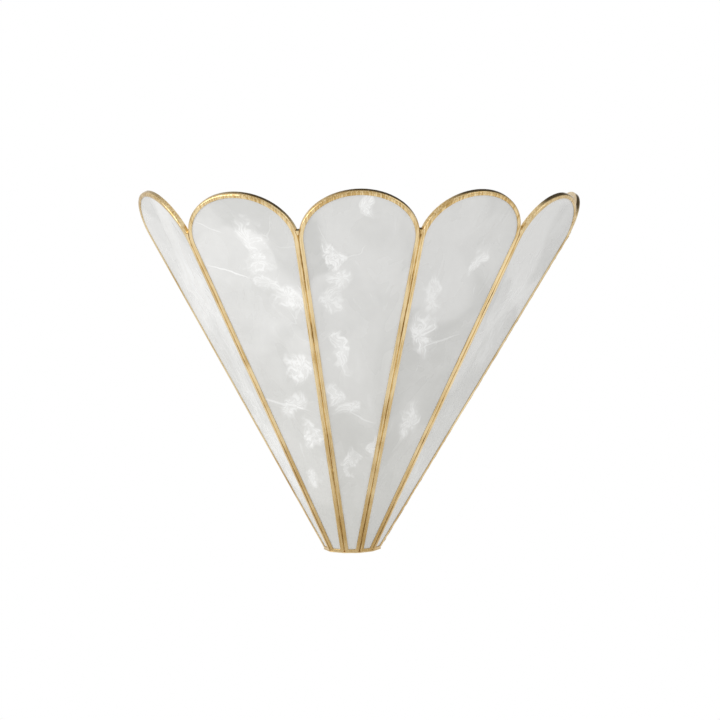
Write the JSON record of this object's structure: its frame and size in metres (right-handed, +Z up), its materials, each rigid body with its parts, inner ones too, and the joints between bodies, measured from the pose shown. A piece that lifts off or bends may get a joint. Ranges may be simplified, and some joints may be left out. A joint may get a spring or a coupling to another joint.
{
  "type": "wall sconce",
  "caption": "Half-round wall light whose flat stone petals in brass frames flare up from a small base and hide candle lamps on a wall plate.",
  "frame": {"origin": "on the wall, midway between the two fixing slots of the wall plate", "axes": "+X to the right as seen from the room, +Y into the wall, +Z up"},
  "size_m": [0.3988, 0.2002, 0.3279],
  "materials": {
    "stone": "honed translucent quartz",
    "frame_brass": "polished, lacquered",
    "solder": "dull solder along the inside corners",
    "felt": "brown felt",
    "grommet_rubber": "matt black",
    "plated_steel": "zinc plated steel, satin",
    "screw_steel": "zinc plated",
    "terminal_brass": "plain machined",
    "terminal_plastic": "satin white",
    "earth_sleeve": "green and yellow sleeve",
    "lead_sleeve": "woven glass and silicone sleeve",
    "holder_ceramic": "white glaze",
    "cap_metal": "bright nickel plated",
    "cap_insulator": "black glass with a tinned contact",
    "bulb_glass": "clear",
    "filament": "yellow coated filament rods"
  },
  "bodies": {
    "wall_side": {"wall_plate": "plated_steel", "cable_grommet": "grommet_rubber", "hanger_hooks": "plated_steel", "lamp_bracket": "plated_steel", "bracket_screws": "screw_steel", "hook_screws": "screw_steel", "earth_screw": "terminal_brass", "earth_tag": "terminal_brass", "terminal_block": "terminal_plastic", "terminal_screws": "screw_steel", "earth_lead": "earth_sleeve", "holder_body_left": "holder_ceramic", "holder_socket_left": "terminal_brass", "holder_contact_left": "terminal_brass", "holder_nipple_left": "terminal_brass", "holder_nut_left": "screw_steel", "holder_lead_left": "lead_sleeve", "holder_body_right": "holder_ceramic", "holder_socket_right": "terminal_brass", "holder_contact_right": "terminal_brass", "holder_nipple_right": "terminal_brass", "holder_nut_right": "screw_steel", "holder_lead_right": "lead_sleeve"},
    "shade": {"stone_panel_1": "stone", "stone_panel_2": "stone", "stone_panel_3": "stone", "stone_panel_4": "stone", "stone_panel_5": "stone", "stone_panel_6": "stone", "panel_frame_1": "frame_brass", "panel_frame_2": "frame_brass", "panel_frame_3": "frame_brass", "panel_frame_4": "frame_brass", "panel_frame_5": "frame_brass", "panel_frame_6": "frame_brass", "solder_run_1": "solder", "solder_run_2": "solder", "solder_run_3": "solder", "solder_run_4": "solder", "solder_run_5": "solder", "valley_filler_1": "frame_brass", "valley_filler_2": "frame_brass", "valley_filler_3": "frame_brass", "valley_filler_4": "frame_brass", "valley_filler_5": "frame_brass", "base_plate": "frame_brass", "hanger_bar": "frame_brass", "stay_bar": "frame_brass", "wall_pads": "felt"},
    "bulb_left": {"bulb_cap_left": "cap_metal", "bulb_tip_left": "cap_insulator", "bulb_glass_left": "bulb_glass", "bulb_stem_left": "bulb_glass", "bulb_filaments_left": "filament"},
    "bulb_right": {"bulb_cap_right": "cap_metal", "bulb_tip_right": "cap_insulator", "bulb_glass_right": "bulb_glass", "bulb_stem_right": "bulb_glass", "bulb_filaments_right": "filament"}
  },
  "joints": [
    {"name": "shade_lift", "type": "slide", "parent": "wall_side", "child": "shade", "axis": [0, 0, 1], "range_m": [0, 0.012]},
    {"name": "bulb_left_turn", "type": "hinge", "parent": "wall_side", "child": "bulb_left", "pos_m": [-0.045, -0.062, 0], "axis": [0, 0, 1], "range_deg": [0, 1440]},
    {"name": "bulb_right_turn", "type": "hinge", "parent": "wall_side", "child": "bulb_right", "pos_m": [0.045, -0.062, 0], "axis": [0, 0, 1], "range_deg": [0, 1440]}
  ]
}
